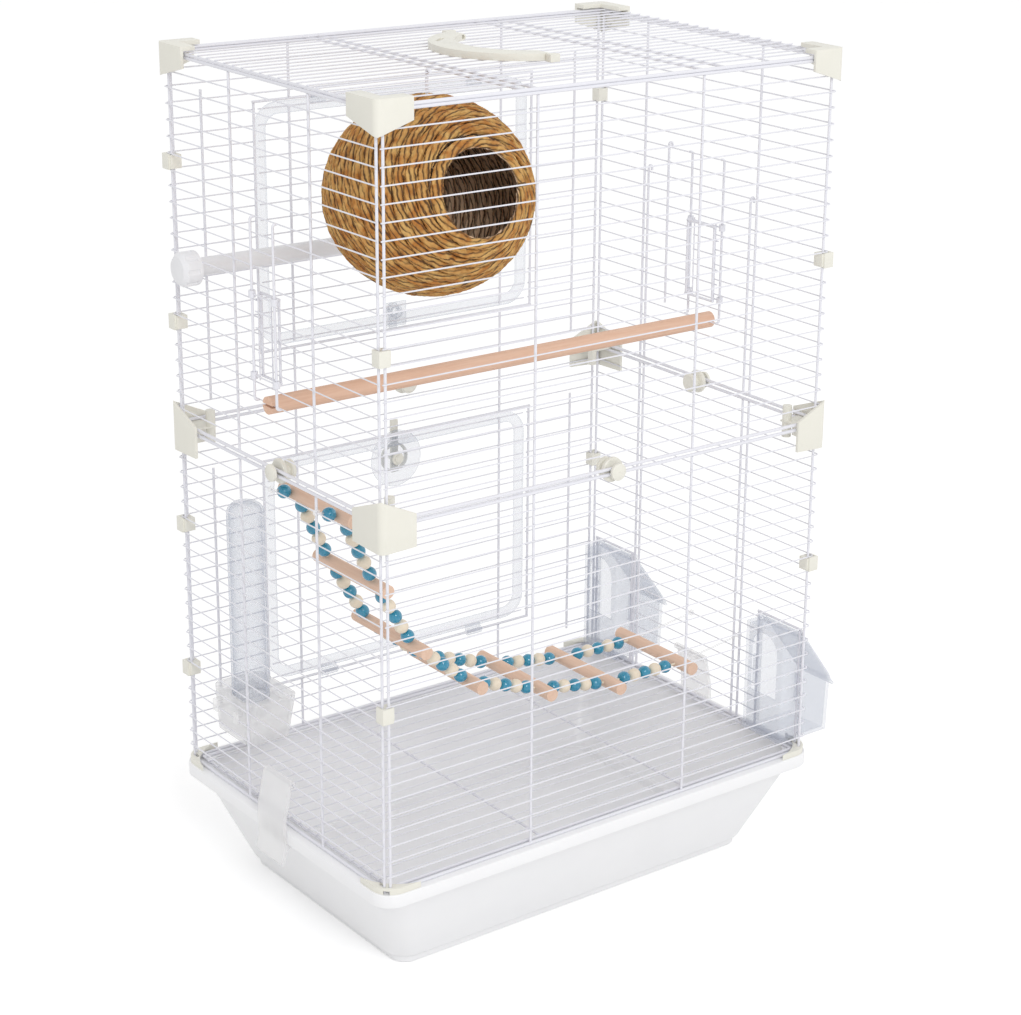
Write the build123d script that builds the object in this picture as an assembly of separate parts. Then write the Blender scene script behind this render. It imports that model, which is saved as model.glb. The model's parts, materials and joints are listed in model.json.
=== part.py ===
from build123d import *
import os
from math import cos, pi, sin

os.makedirs("parts", exist_ok=True)

# A two-storey wire bird cage that stands on a moulded tray, with its perches, feeders,
# nest ball and bead ladder. Sizes are in millimetres.
# Front is -Y, back is +Y, left is -X, right is +X. The origin is the middle of the
# tray's flat underside.

# Fits
touch = 0.02            # left between pieces that are welded, glued or pressed together
seat_gap = 0.3          # between a clip, cap or hook and the wire that it holds
hinge_gap = 0.3         # radial play of every hinge and rail
lid_gap = 0.3

# Tray
tray_length = 400.0
tray_width = 280.0
tray_height = 82.0
tray_corner = 17.0
tray_wall = 2.0
tray_skirt = 10.0       # height of the rim's turned-down edge
tray_overhang = 5.0     # how far the rim stands out past the tub
tray_ledge = 8.0        # how far the rim reaches in under the floor grille
tub_taper_x = 30.0      # what each side draws in from rim to foot
tub_taper_y = 30.0
tray_foot = 7.0         # height of the foot step
tray_foot_inset = 4.0

# Wire
wire_d = 1.1            # thin horizontal wires
post_d = 2.0            # uprights and cross wires
rim_d = 2.5             # top and bottom wire of each panel
wire_pitch = 11.5
wire_overhang = 3.0     # thin wires run this far past the corner upright
cage_inset = 7.0        # from the tray's edge to the uprights' plane
corner_inset = 3.0      # from one panel's plane to the next panel's corner upright
tier_top = 348.0        # centre of the lower tier's top rim
tier_gap = 4.0          # between the rims of the two tiers
roof_rim = 620.0        # centre of the upper tier's top rim

# Doors of clear plastic in the back wall
door_width = 244.0
door_band = 8.5
door_corner = 19.0
door_thick = 4.0
door_gap = 1.5
upper_door_low = 399.0
upper_door_high = 571.0
lower_door_low = 122.0
lower_door_high = 303.0
door_post_x = 95.0
hinge_x = 70.0
hinge_length = 14.0
hinge_wall = 1.6
latch_shaft_r = 3.0
latch_plate = 2.5
latch_washer = 1.5
latch_washer_r = 5.0
latch_plate_w = 20.0
latch_plate_h = 19.0
latch_disc_r = 23.0
latch_disc_drop = 24.0  # disc centre below the lower door's top edge
latch_ring_r = 12.0

# Lift doors in the end walls
rail_d = 2.0
rail_stand = 3.1        # rail centre out from the thin wires
rail_top = 524.0
lift_rows = 5
left_lift_y = 1.5
left_lift_half = 14.5
right_lift_y = 5.5
right_lift_half = 18.5
eye_wall = 1.2
eye_length = 5.0

# Corner and edge pieces
cap_length_x = 28.0
cap_length_y = 34.0
cap_wall = 2.2
cap_plate = 3.06        # flat top of a roof corner cap
cap_tip_drop = 15.0
cap_corner_drop = 24.0
cap_round = 5.0
link_low = 331.0
link_high = 368.0
link_tip_high = 355.0
link_pin_d = 7.0
plate_leg = 30.0
plate_thick = 1.8
button_r = 11.0
button_thick = 5.0
button_back_r = 9.0
clip_half = 8.5
clip_height = 11.0
clip_wall = 1.5
front_clip_z = (468.0, 221.0)
right_clip_z = (479.0, 234.0)
back_clip_z = (553.0, 246.0)
left_clip_z = (539.0, 424.0, 269.0, 161.0)

# Perches
perch_d = 12.5
perch_z = 400.0
perch_left = 198.0
perch_right = 200.0
knob_perch_d = 13.0
knob_perch_y = 99.0
knob_perch_z = 476.0
knob_perch_end = -40.0
stud_d = 8.0
stud_gap = 0.2
knob_d = 25.0
knob_length = 14.0

# Nest ball
ball_x = -100.0
ball_y = -56.0
ball_z = 542.0
ball_r = 72.0
ball_half_height = 68.0
ball_wall = 7.0
ball_mouth_d = 60.0
ball_mouth_tilt = 12.0
hook_wire_d = 2.4

# Hooded feeders in the right wall
feeder_y = 102.0
feeder_width = 42.0
feeder_in = 178.0
feeder_out = 228.0
feeder_belly = 2.0
feeder_front_z = 133.0
feeder_top_z = 178.0
feeder_top_x = 197.0
feeder_wall = 1.8
feeder_sill_z = 122.0
feeder_arch_w = 30.0
feeder_fin = 4.0
lid_lip = 12.0
lid_barrel_r = 2.5
lid_pin_r = 1.3

# Tube feeder inside the left wall
tube_x = -174.5
tube_y = 75.0
tube_d = 28.0
tube_wall = 1.6
tube_low = 138.0
tube_high = 303.0
tube_round = 9.0
cup_width = 58.0
cup_depth = 42.0
cup_low = 122.0
cup_high = 155.0
cup_draft = 4.0
cup_wall = 1.8
cup_deck_z = 149.0

# Carrying handle on the roof
handle_x = -4.0
handle_reach = 48.0
handle_band = 20.0
handle_thick = 5.0
handle_half = 58.0
handle_eye = 14.0
handle_pin_r = 1.2
bracket_length = 6.0

# Tray clips on the end walls
clip_y = 3.0
clip_width = 36.0
clip_plate = 2.5
clip_top_z = 118.0
clip_tail_z = 57.0

# Bead ladder
ladder_y = -25.5
rung_d = 10.0
rung_length = 90.0
strand_gap = 58.0
cord_d = 1.6
bead_d = 10.4
bead_length = 10.0
beads_between = 5
rung_points = [(-175.0, 330.0), (-148.0, 273.0), (-116.0, 219.5), (-67.5, 180.0),
               (-4.0, 158.0), (62.0, 146.0), (133.0, 144.0)]

# Worked-out places
post_r = post_d / 2
rim_r = rim_d / 2
wire_r = wire_d / 2
half_x = tray_length / 2 - cage_inset
half_y = tray_width / 2 - cage_inset
thin_out = post_r + touch + wire_r
skin = post_r + touch + wire_d
floor_rim = tray_height + touch + rim_r
tier_base = tier_top + tier_gap
roof_plane = roof_rim + rim_d + touch
roof_top = roof_plane + skin
cap_top = roof_top + seat_gap + cap_plate


def levels(low, high):
    """Heights of the thin wires that share out the space between two rims."""
    rows = round((high - low) / wire_pitch)
    return [low + (high - low) * k / rows for k in range(1, rows)]


def nearest(values, wanted):
    """The value closest to the wanted one."""
    return min(values, key=lambda value: abs(value - wanted))


def gap_middles(values):
    """Heights halfway between neighbouring wires."""
    return [(a + b) / 2 for a, b in zip(values, values[1:])]


lower_levels = levels(floor_rim, tier_top)
upper_levels = levels(tier_base, roof_rim)
roof_levels = levels(-half_y, half_y)
lower_gaps = gap_middles(lower_levels)
upper_gaps = gap_middles(upper_levels)
perch_level = nearest(upper_levels, perch_z)


def save(name, *pieces):
    """Write one node; pieces that the real one has apart stay apart."""
    solids = [solid for piece in pieces for solid in piece.solids()]
    shape = solids[0] if len(solids) == 1 else Compound(solids)
    export_step(shape, f"parts/{name}.step")


def rod(start, end, diameter):
    """A round wire or bar between two points."""
    a = Vector(*start)
    b = Vector(*end)
    return Solid.make_cylinder(diameter / 2, (b - a).length, Plane(a, z_dir=b - a))


def thin_wire(start, end):
    """A thin grille wire, six-sided to keep the many of them light."""
    a = Vector(*start)
    b = Vector(*end)
    return extrude(Plane(a, z_dir=b - a) * RegularPolygon(wire_r, 6), (b - a).length)


def block(x0, x1, y0, y1, z0, z1):
    """A box between two corners."""
    size = Box(abs(x1 - x0), abs(y1 - y0), abs(z1 - z0))
    return Pos((x0 + x1) / 2, (y0 + y1) / 2, (z0 + z1) / 2) * size


def prism_xz(points, y0, y1):
    """An outline in the XZ plane carried from y0 to y1."""
    face = make_face(Polyline(*[(x, y0, z) for x, z in points], close=True))
    return extrude(face, y1 - y0, dir=(0, 1, 0))


def prism_yz(points, x0, x1):
    """An outline in the YZ plane carried from x0 to x1."""
    face = make_face(Polyline(*[(x0, y, z) for y, z in points], close=True))
    return extrude(face, x1 - x0, dir=(1, 0, 0))


def bent_wire(points, radius, diameter):
    """A round wire along straight runs joined by tangent bends."""
    path = FilletPolyline(*points, radius=radius)
    start = Plane(origin=path @ 0, z_dir=path % 0)
    return sweep(start * Circle(diameter / 2), path)


def stretches(low, high, cuts):
    """What is left of low..high when the cuts are taken out."""
    left = []
    at = low
    for a, b in sorted(cuts):
        if a - at > post_d:
            left.append((at, a))
        at = b
    if high - at > post_d:
        left.append((at, high))
    return left


def grille(place, half, low, high, rows, posts, short_posts=(), holes=(), overhang=wire_overhang):
    """A welded grille. place(u, v, w) is a point along, across and out from its plane."""
    pieces = []
    ends = half + post_r
    for v in (low, high):
        pieces.append(rod(place(-ends, v, 0), place(ends, v, 0), rim_d))
    inner_low = low + rim_r + touch
    inner_high = high - rim_r - touch
    for u in [-half, *posts, half]:
        cuts = [(v0 - post_d - touch, v1 + post_d + touch) for u0, u1, v0, v1 in holes if u0 < u < u1]
        for a, b in stretches(inner_low, inner_high, cuts):
            pieces.append(rod(place(u, a, 0), place(u, b, 0), post_d))
    for u, a, b in short_posts:
        pieces.append(rod(place(u, max(a, inner_low), 0), place(u, min(b, inner_high), 0), post_d))
    for u0, u1, v0, v1 in holes:
        for v in (v0 - post_r, v1 + post_r):
            if inner_low < v < inner_high:
                pieces.append(rod(place(u0 - post_d, v, 0), place(u1 + post_d, v, 0), post_d))
        for u in (u0 - post_r, u1 + post_r):
            a = max(v0 + touch, inner_low)
            pieces.append(rod(place(u, a, 0), place(u, v1 - touch, 0), post_d))
    for v in rows:
        cuts = [(u0, u1) for u0, u1, v0, v1 in holes if v0 < v < v1]
        for a, b in stretches(-half - overhang, half + overhang, cuts):
            pieces.append(thin_wire(place(a, v, thin_out), place(b, v, thin_out)))
    return pieces


def on_front(u, v, w):
    return (u, -half_y - w, v)


def on_back(u, v, w):
    return (u, half_y + w, v)


def on_left(u, v, w):
    return (-half_x - w, u, v)


def on_right(u, v, w):
    return (half_x + w, u, v)


def on_roof(u, v, w):
    return (u, v, roof_plane + w)


def on_floor(u, v, w):
    return (u, v, floor_rim + w)


# Heights of the openings, each edge halfway between two wires
upper_door_head = nearest(upper_gaps, upper_door_high + door_gap + post_r)
upper_door_sill = nearest(upper_gaps, upper_door_low - door_gap - post_r)
lower_door_head = nearest(lower_gaps, lower_door_high + door_gap + post_r)
lower_door_sill = nearest(lower_gaps, lower_door_low - door_gap - post_r)
feeder_head = nearest(lower_gaps, feeder_top_z + rim_d)
lift_sill = nearest(upper_gaps, perch_level + 1.5 * wire_pitch)
lift_head = nearest(upper_gaps, lift_sill + lift_rows * wire_pitch)
door_half = door_width / 2 + door_gap
feeder_hole_half = feeder_width / 2 + door_gap


def door_hole(sill, head):
    """The opening between a door's sill wire and head wire."""
    return (-door_half, door_half, sill + post_r, head - post_r)


def lift_hole(centre, half):
    """The opening behind a lift door."""
    return (centre - half + 2 * post_d, centre + half - 2 * post_d, lift_sill + post_r, lift_head - post_r)


def feeder_hole(centre):
    """The opening that a feeder fills, from the floor rim up."""
    return (centre - feeder_hole_half, centre + feeder_hole_half, floor_rim, feeder_head - post_r)


def make_tray():
    """Tapered tub with a foot step, and a rim that turns down outside and reaches in as a ledge."""
    rim_low = tray_height - tray_skirt
    top_x = tray_length - 2 * tray_overhang
    top_y = tray_width - 2 * tray_overhang
    base_x = top_x - 2 * tub_taper_x
    base_y = top_y - 2 * tub_taper_y
    foot_x = base_x - 2 * tray_foot_inset
    foot_y = base_y - 2 * tray_foot_inset

    def tub(shrink, z0, z1):
        low = Pos(0, 0, z0) * RectangleRounded(base_x - 2 * shrink, base_y - 2 * shrink, tray_corner - shrink)
        high = Pos(0, 0, z1) * RectangleRounded(top_x - 2 * shrink, top_y - 2 * shrink, tray_corner - shrink)
        return loft([low, high])

    def slab(x, y, corner, z0, z1):
        return Pos(0, 0, z0) * extrude(RectangleRounded(x, y, corner), z1 - z0)

    outside = tub(0, tray_foot, tray_height - tray_wall)
    outside += slab(foot_x, foot_y, tray_corner - tray_foot_inset, 0, tray_foot)
    outside += slab(tray_length, tray_width, tray_corner, tray_height - tray_wall, tray_height)
    outside += slab(tray_length, tray_width, tray_corner, rim_low, tray_height) - slab(
        tray_length - 2 * tray_wall, tray_width - 2 * tray_wall, tray_corner - tray_wall, rim_low, tray_height)
    inside = tub(tray_wall, tray_foot + tray_wall, tray_height - tray_wall)
    inside += slab(foot_x - 2 * tray_wall, foot_y - 2 * tray_wall, tray_corner - tray_foot_inset - tray_wall,
                   tray_wall, tray_foot + tray_wall)
    mouth_x = top_x - 2 * tray_ledge
    mouth_y = top_y - 2 * tray_ledge
    inside += slab(mouth_x, mouth_y, tray_corner - tray_wall, tray_height - 2 * tray_wall, tray_height)
    return outside - inside


def all_corners(shape):
    """One back right piece mirrored to the four corners."""
    back_left = mirror(shape, about=Plane.YZ)
    return {"back_right": shape, "back_left": back_left,
            "front_right": mirror(shape, about=Plane.XZ), "front_left": mirror(back_left, about=Plane.XZ)}


cap_in_x = half_x + skin + seat_gap
cap_in_y = half_y + skin + seat_gap
cap_out_x = cap_in_x + cap_wall
cap_out_y = cap_in_y + cap_wall


def corner_wings(corner_low, corner_high, tip_low, tip_high):
    """Two flat wings that meet at a rounded back right corner."""
    tip_x = cap_out_x - cap_length_x
    tip_y = cap_out_y - cap_length_y
    along_x = prism_xz([(tip_x, tip_low), (cap_out_x, corner_low), (cap_out_x, corner_high), (tip_x, tip_high)],
                       cap_in_y, cap_out_y)
    along_y = prism_yz([(tip_y, tip_low), (cap_out_y, corner_low), (cap_out_y, corner_high), (tip_y, tip_high)],
                       cap_in_x, cap_out_x)
    rounded = extrude(RectangleRounded(2 * cap_out_x, 2 * cap_out_y, cap_round), cap_top + 1)
    return (along_x + along_y) & rounded


def make_top_cap():
    """Roof corner cap: two wings and a flat top over the wires."""
    wings = corner_wings(cap_top - cap_corner_drop, cap_top, cap_top - cap_tip_drop, cap_top)
    reach = cap_wall + 3 * corner_inset
    top = block(cap_out_x - cap_length_x, cap_out_x, cap_out_y - cap_length_y, cap_out_y,
                cap_top - cap_plate, cap_top)
    top -= block(cap_out_x - cap_length_x, cap_out_x - reach, cap_out_y - cap_length_y, cap_out_y - reach,
                 cap_top - cap_plate, cap_top)
    top &= extrude(RectangleRounded(2 * cap_out_x, 2 * cap_out_y, cap_round), cap_top + 1)
    return wings + top


def make_link():
    """Corner link of the two tiers: wings outside, a shelf between the rims and a pin inside."""
    wings = corner_wings(link_low, link_high, link_low + 1, link_tip_high)
    middle = (tier_top + tier_base) / 2
    shelf_half = (tier_gap - rim_d) / 2 - seat_gap / 2
    reach = cap_length_x - 2 * corner_inset
    shelf = block(cap_in_x - reach, cap_in_x + touch, cap_in_y - reach, cap_in_y + touch,
                  middle - shelf_half, middle + shelf_half)
    pin_at = reach - link_pin_d / 2
    pin = rod((cap_in_x - pin_at, cap_in_y - pin_at, middle - link_pin_d - 5),
              (cap_in_x - pin_at, cap_in_y - pin_at, middle + link_pin_d + 5), link_pin_d)
    return wings + shelf + pin


def make_base_corner():
    """Curved corner plate over the floor rims, with a lip that stands on the tray."""
    edge_x = tray_length / 2 - corner_inset / 2
    edge_y = tray_width / 2 - corner_inset / 2
    low = floor_rim + rim_r + seat_gap
    outline = Polyline((edge_x - plate_leg, edge_y), (edge_x, edge_y), (edge_x, edge_y - plate_leg))
    bow = plate_leg * 0.34
    inner = ThreePointArc((edge_x, edge_y - plate_leg), (edge_x - bow, edge_y - bow), (edge_x - plate_leg, edge_y))
    face = make_face(outline + inner)
    plate = Pos(0, 0, low) * extrude(face, plate_thick)
    lip = Pos(0, 0, tray_height + touch) * extrude(face, low - tray_height)
    lip -= block(0, cap_in_x, 0, cap_in_y, tray_height, low)
    piece = plate + lip
    piece &= extrude(RectangleRounded(2 * edge_x, 2 * edge_y, tray_corner - corner_inset / 2), cap_top)
    bore = post_d + 2 * seat_gap
    piece -= rod((half_x - corner_inset, half_y, 0), (half_x - corner_inset, half_y, cap_top), bore)
    jamb_y = feeder_y + feeder_hole_half + post_r
    for y in (half_y - corner_inset, jamb_y):
        piece -= rod((half_x, y, 0), (half_x, y, cap_top), bore)
    return piece - block(half_x - bore / 2, half_x + bore / 2, jamb_y, half_y - corner_inset, 0, cap_top)


def make_button(place):
    """Round clip at the middle of a wall: a conical button outside, a smaller disc inside."""
    middle = (tier_top + tier_base) / 2
    shelf_half = (tier_gap - rim_d) / 2 - seat_gap / 2
    out = skin + seat_gap
    back = rim_r + seat_gap

    def disc(start, end, r_start, r_end):
        a = Vector(*place(0, middle, start))
        b = Vector(*place(0, middle, end))
        return Solid.make_cone(r_start, r_end, (b - a).length, Plane(a, z_dir=b - a))

    front = disc(out, out + button_thick, button_r, button_r * 0.72)
    rear = disc(-back, -back - 2 * clip_wall, button_back_r, button_back_r * 0.8)
    a = Vector(*place(-button_back_r * 0.7, middle - shelf_half, -back - touch))
    b = Vector(*place(button_back_r * 0.7, middle + shelf_half, out + touch))
    shelf = block(a.X, b.X, a.Y, b.Y, a.Z, b.Z)
    return front + rear + shelf


def make_edge_clip(sign_x, sign_y, z):
    """Small clip that ties the two corner uprights between two thin wires."""
    out_x = cap_in_x + clip_wall
    out_y = cap_in_y + clip_wall
    angle = block(out_x - clip_half, out_x, cap_in_y, out_y, -clip_height / 2, clip_height / 2)
    angle += block(cap_in_x, out_x, out_y - clip_half, out_y, -clip_height / 2, clip_height / 2)
    core_half = (wire_pitch - wire_d) / 2 - seat_gap
    core = block(half_x - 2 * corner_inset, cap_in_x + touch, half_y - 2 * corner_inset, cap_in_y + touch,
                 -core_half, core_half)
    piece = angle + core
    for x, y in ((half_x - corner_inset, half_y), (half_x, half_y - corner_inset)):
        piece -= rod((x, y, -clip_height), (x, y, clip_height), post_d + 2 * seat_gap)
    if sign_x < 0:
        piece = mirror(piece, about=Plane.YZ)
    if sign_y < 0:
        piece = mirror(piece, about=Plane.XZ)
    return Pos(0, 0, z) * piece


def make_edge_clips():
    """All the edge clips, each in the gap between wires nearest its height."""
    gaps = lower_gaps + upper_gaps
    rows = (((1, -1), right_clip_z), ((-1, -1), front_clip_z), ((1, 1), back_clip_z), ((-1, 1), left_clip_z))
    return [make_edge_clip(x, y, nearest(gaps, z)) for (x, y), heights in rows for z in heights]


door_face = half_y + skin + touch
door_out = door_face + door_thick


def make_door_frame(low, high):
    """Clear rounded frame that lies outside the door's wires."""
    height = high - low
    band = RectangleRounded(door_width, height, door_corner)
    band -= RectangleRounded(door_width - 2 * door_band, height - 2 * door_band, door_corner - door_band)
    plane = Plane(origin=(0, door_face, (low + high) / 2), x_dir=(1, 0, 0), z_dir=(0, 1, 0))
    return extrude(plane * band, door_thick)


def make_door_grille(low, high, rows):
    """The door's own wires, in line with those of the wall."""
    half = door_width / 2 - post_d
    pieces = [thin_wire(on_back(-half, z, thin_out), on_back(half, z, thin_out))
              for z in rows if low + post_d < z < high - post_d]
    for x in (-door_post_x, door_post_x):
        pieces.append(rod((x, half_y, low + post_d), (x, half_y, high - post_d), post_d))
    return pieces


def make_door_hinges(bar_z, side):
    """Two straps that wrap the wall's wire and hold the frame's edge. side is -1 below the wire."""
    bore = post_r + hinge_gap
    outer = bore + hinge_wall
    grip = (wire_pitch - wire_d) / 2 - seat_gap
    pieces = []
    for x in (-hinge_x, hinge_x):
        x0 = x - hinge_length / 2
        x1 = x + hinge_length / 2
        strap = rod((x0, half_y, bar_z), (x1, half_y, bar_z), 2 * outer)
        strap += block(x0, x1, half_y, door_face - touch, bar_z, bar_z + side * grip)
        strap -= rod((x0 - 1, half_y, bar_z), (x1 + 1, half_y, bar_z), 2 * bore)
        pieces.append(strap)
    return pieces


def make_latch(z, arm, ring_r):
    """Turn latch: a ring to hold, an arm that laps the wall's wire, a shaft and a washer behind."""
    plate_in = door_out + touch
    plate_out = plate_in + latch_plate
    front = plate_out + seat_gap
    washer = plate_in - seat_gap
    shaft = rod((0, washer - latch_plate, z), (0, front + 2 * latch_plate, z), 2 * latch_shaft_r)
    shaft += rod((0, washer - latch_washer, z), (0, washer, z), 2 * latch_washer_r)
    grip = rod((0, front, z), (0, front + latch_plate, z), 2 * ring_r)
    grip -= rod((0, front - 1, z), (0, front + latch_plate + 1, z), 2 * ring_r - 4 * latch_shaft_r / 3)
    tab = block(-latch_shaft_r, latch_shaft_r, front, front + latch_plate, z - (ring_r if arm > 0 else -ring_r),
                z + arm)
    return shaft + grip + tab


def make_latch_bore(z):
    """Room for the latch: a hole for its shaft in the boss, a wider one for its washer in the frame."""
    hole = rod((0, door_out, z), (0, door_out + 2 * latch_plate, z), 2 * (latch_shaft_r + hinge_gap))
    return hole + rod((0, door_face - 1, z), (0, door_out + touch / 2, z), 2 * (latch_washer_r + hinge_gap))


def make_latch_disc(z):
    """Round clear boss of the lower door."""
    face = door_out + touch
    return rod((0, face, z), (0, face + latch_plate, z), 2 * latch_disc_r) - make_latch_bore(z)


def make_latch_square(z):
    """Square clear boss of the upper door."""
    face = door_out + touch
    half = latch_plate_w / 2
    return block(-half, half, face, face + latch_plate, z + half - latch_plate_h - 3, z + half - 3) - make_latch_bore(z)


rail_x = half_x + skin + rail_stand
rail_low = perch_level
rail_high = nearest(upper_levels, rail_top)
eye_r = rail_d / 2 + hinge_gap + eye_wall
lift_low = lift_sill - post_d
lift_high = lift_head + post_d


def make_rails(centre, half, side):
    """Two guide wires, bent in at both ends to the thin wires. side is +1 on the right wall."""
    pieces = []
    for y in (centre - half, centre + half):
        points = [(half_x + skin + touch, y, rail_low), (rail_x, y, rail_low),
                  (rail_x, y, rail_high), (half_x + skin + touch, y, rail_high)]
        pieces.append(bent_wire([(side * x, py, z) for x, py, z in points], rail_d, rail_d))
    return pieces


def make_lift_door(centre, half, side):
    """Wire door that slides up the rails on four eyes."""
    pieces = []
    x = side * rail_x
    rows = lift_rows + 1
    for row in range(rows):
        z = lift_low + eye_length / 2 + (lift_high - lift_low - eye_length) * row / (rows - 1)
        reach = half - 2 * post_d
        if row in (0, rows - 1):
            reach = half - eye_r - touch
            for y in (centre - half, centre + half):
                eye = rod((x, y, z - eye_length / 2), (x, y, z + eye_length / 2), 2 * eye_r)
                eye -= rod((x, y, z - eye_length), (x, y, z + eye_length), 2 * (eye_r - eye_wall))
                pieces.append(eye)
        pieces.append(rod((x, centre - reach, z), (x, centre + reach, z), wire_d))
    inner = side * (rail_x - wire_r - touch - wire_r)
    for y in (centre - half + 3 * post_d, centre + half - 3 * post_d):
        pieces.append(rod((inner, y, lift_low), (inner, y, lift_high), wire_d))
    return pieces


def make_perch():
    """Wooden dowel, slotted at both ends over a wall wire."""
    perch = rod((-perch_left, 0, perch_level), (perch_right, 0, perch_level), perch_d)
    slot_half = wire_r + seat_gap
    slot_end = half_x + post_r + touch - seat_gap
    for x0, x1 in ((-perch_left - 1, -slot_end), (slot_end, perch_right + 1)):
        perch -= block(x0, x1, -perch_d, perch_d, perch_level - slot_half, perch_level + slot_half)
    return perch


knob_level = nearest(upper_gaps, knob_perch_z)
knob_face = -(half_x + skin + touch)


def make_knob_perch():
    """Moulded perch with a shoulder inside the wires and a stud through them."""
    shoulder = -(half_x + post_r)
    at = (knob_perch_y, knob_level)
    bar = rod((shoulder, *at), (knob_perch_end, *at), knob_perch_d)
    bar = chamfer(bar.edges().sort_by(Axis.X)[-1], knob_perch_d / 8)
    stud = rod((shoulder + 1, *at), (knob_face - knob_length + 3, *at), stud_d)
    return bar + stud


def make_knob():
    """Fluted nut on the stud."""
    at = (knob_perch_y, knob_level)
    tip = knob_face - knob_length
    knob = rod((knob_face, *at), (tip, *at), knob_d)
    knob = chamfer(knob.edges().sort_by(Axis.X)[0], knob_d / 8)
    flutes = 8
    for k in range(flutes):
        turn = 2 * pi * k / flutes
        y = knob_perch_y + knob_d * 0.56 * cos(turn)
        z = knob_level + knob_d * 0.56 * sin(turn)
        knob -= rod((knob_face - 2.5, y, z), (tip - 1, y, z), knob_d / 5)
    return knob - rod((knob_face + 1, *at), (knob_face - knob_length + 3 - stud_gap, *at), stud_d + 2 * stud_gap)


ball_wire_y = nearest(roof_levels, ball_y)


def make_nest_ball():
    """Hollow ball, a little flattened, with a round mouth that looks to the front and a little up."""
    shell = Sphere(ball_r) - Sphere(ball_r - ball_wall)
    mouth = Rot(90 - ball_mouth_tilt, 0, 0) * Cylinder(ball_mouth_d / 2, 2 * ball_r,
                                                        align=(Align.CENTER, Align.CENTER, Align.MIN))
    ball = scale(shell - mouth, by=(1, 1, ball_half_height / ball_r))
    return Pos(ball_x, ball_wire_y, ball_z) * ball


def make_ball_hook():
    """Wire hook that hangs the ball from one roof wire."""
    crook = wire_r + hinge_gap + hook_wire_d / 2
    wire_z = roof_plane + thin_out
    foot = ball_z + ball_half_height + touch
    y = ball_wire_y
    rise = Line((ball_x, y + crook, foot), (ball_x, y + crook, wire_z))
    bow = ThreePointArc((ball_x, y + crook, wire_z), (ball_x, y, wire_z + crook), (ball_x, y - crook, wire_z))
    path = rise + bow
    return sweep(Plane(origin=(ball_x, y + crook, foot), z_dir=(0, 0, 1)) * Circle(hook_wire_d / 2), path)


feeder_low = floor_rim + rim_r + seat_gap + plate_thick + 2 * seat_gap
slope = Vector(feeder_out + feeder_belly - feeder_top_x, 0, feeder_front_z - feeder_top_z)
slope_dir = slope.normalized()
slope_out = Vector(-slope_dir.Z, 0, slope_dir.X)
lid_hinge = Vector(feeder_top_x, 0, feeder_top_z) - slope_out * lid_barrel_r + slope_dir * lid_barrel_r


def slope_point(along, out):
    """A point on the hood's slope, measured down from its top and out from its surface."""
    p = Vector(feeder_top_x, 0, feeder_top_z) + slope_dir * along + slope_out * out
    return (p.X, p.Z)


def make_feeder(centre):
    """Clear hopper through the wall: arch inside, open slope outside, fins that grip the jambs."""
    half = feeder_width / 2
    outer = [(feeder_in, feeder_low), (feeder_out, feeder_low), (feeder_out + feeder_belly, feeder_front_z),
             (feeder_top_x, feeder_top_z), (feeder_in, feeder_top_z)]
    w = feeder_wall
    inner = [(feeder_in + w, feeder_low + w), (feeder_out - w, feeder_low + w),
             (feeder_out + feeder_belly - w, feeder_front_z), (feeder_out, feeder_top_z),
             (lid_hinge.X - lid_barrel_r - lid_gap, feeder_top_z + 1),
             (lid_hinge.X - lid_barrel_r - lid_gap, feeder_top_z - w), (feeder_in + w, feeder_top_z - w)]
    body = prism_xz(outer, centre - half, centre + half) - prism_xz(inner, centre - half + w, centre + half - w)
    depth = w + lid_gap
    pocket = [slope_point(-10, 0.5), slope_point(slope.length + 6, 0.5), slope_point(slope.length + 6, -depth),
              slope_point(lid_barrel_r, -depth), slope_point(-10, -depth)]
    body -= prism_xz(pocket, centre - half + w, centre + half - w)
    arch_r = feeder_arch_w / 2
    arch_z = feeder_top_z - w - 3 - arch_r
    body -= block(feeder_in - 1, feeder_in + w + 1, centre - arch_r, centre + arch_r, feeder_sill_z, arch_z)
    body -= rod((feeder_in - 1, centre, arch_z), (feeder_in + w + 1, centre, arch_z), feeder_arch_w)
    fin_x = half_x + skin + seat_gap
    nib_x = half_x - post_r - seat_gap
    for side in (-1, 1):
        a = centre + side * (half - 0.5)
        b = centre + side * (half + feeder_fin)
        body += block(fin_x, fin_x + w, a, b, feeder_low, feeder_head - post_d)
        body += block(nib_x - w, nib_x, a, b - side * seat_gap, feeder_sill_z, feeder_sill_z + 2 * wire_pitch)
    return body - rod((lid_hinge.X, centre - 2 * half, lid_hinge.Z), (lid_hinge.X, centre + 2 * half, lid_hinge.Z),
                      2 * (lid_pin_r + hinge_gap))


def make_feeder_lid(centre):
    """Sloping lid with a hinge barrel, two pins and a lip to lift it by."""
    half = feeder_width / 2 - feeder_wall - lid_gap
    plate = [slope_point(lid_barrel_r, 0), slope_point(slope.length + lid_lip, 0),
             slope_point(slope.length + lid_lip, -feeder_wall), slope_point(lid_barrel_r, -feeder_wall)]
    lid = prism_xz(plate, centre - half, centre + half)
    at = (lid_hinge.X, lid_hinge.Z)
    lid += rod((at[0], centre - half, at[1]), (at[0], centre + half, at[1]), 2 * lid_barrel_r)
    pin_half = feeder_width / 2 - touch
    lid += rod((at[0], centre - pin_half, at[1]), (at[0], centre + pin_half, at[1]), 2 * lid_pin_r)
    return lid


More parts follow.
